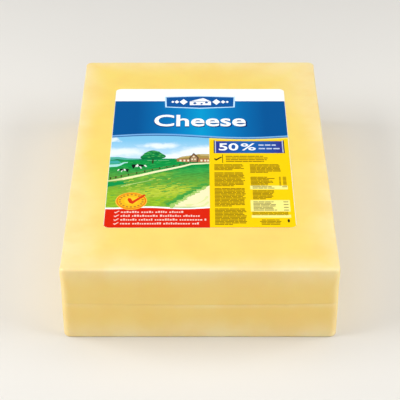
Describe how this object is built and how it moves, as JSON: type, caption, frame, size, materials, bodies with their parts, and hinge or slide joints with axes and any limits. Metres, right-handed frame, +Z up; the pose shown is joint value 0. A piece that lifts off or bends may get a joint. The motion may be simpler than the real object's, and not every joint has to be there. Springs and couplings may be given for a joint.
{
  "type": "cheese block",
  "caption": "Large flat rectangular block of pale yellow semi-hard cheese in clinging clear film, with a printed paper label on its top face.",
  "frame": {"origin": "middle of the underside of the block, on the surface that it rests on", "axes": "+Z up through the label; +Y along the block, towards the top edge of the label; +X to the right of someone reading the label"},
  "size_m": [0.301, 0.486, 0.0903],
  "materials": {
    "cheese": "smooth rindless semi-hard cheese under a clinging clear film, satin",
    "label_paper": "coated paper, printed in colour, satin"
  },
  "bodies": {
    "root": {"cheese_block": "cheese", "label": "label_paper"}
  },
  "joints": []
}
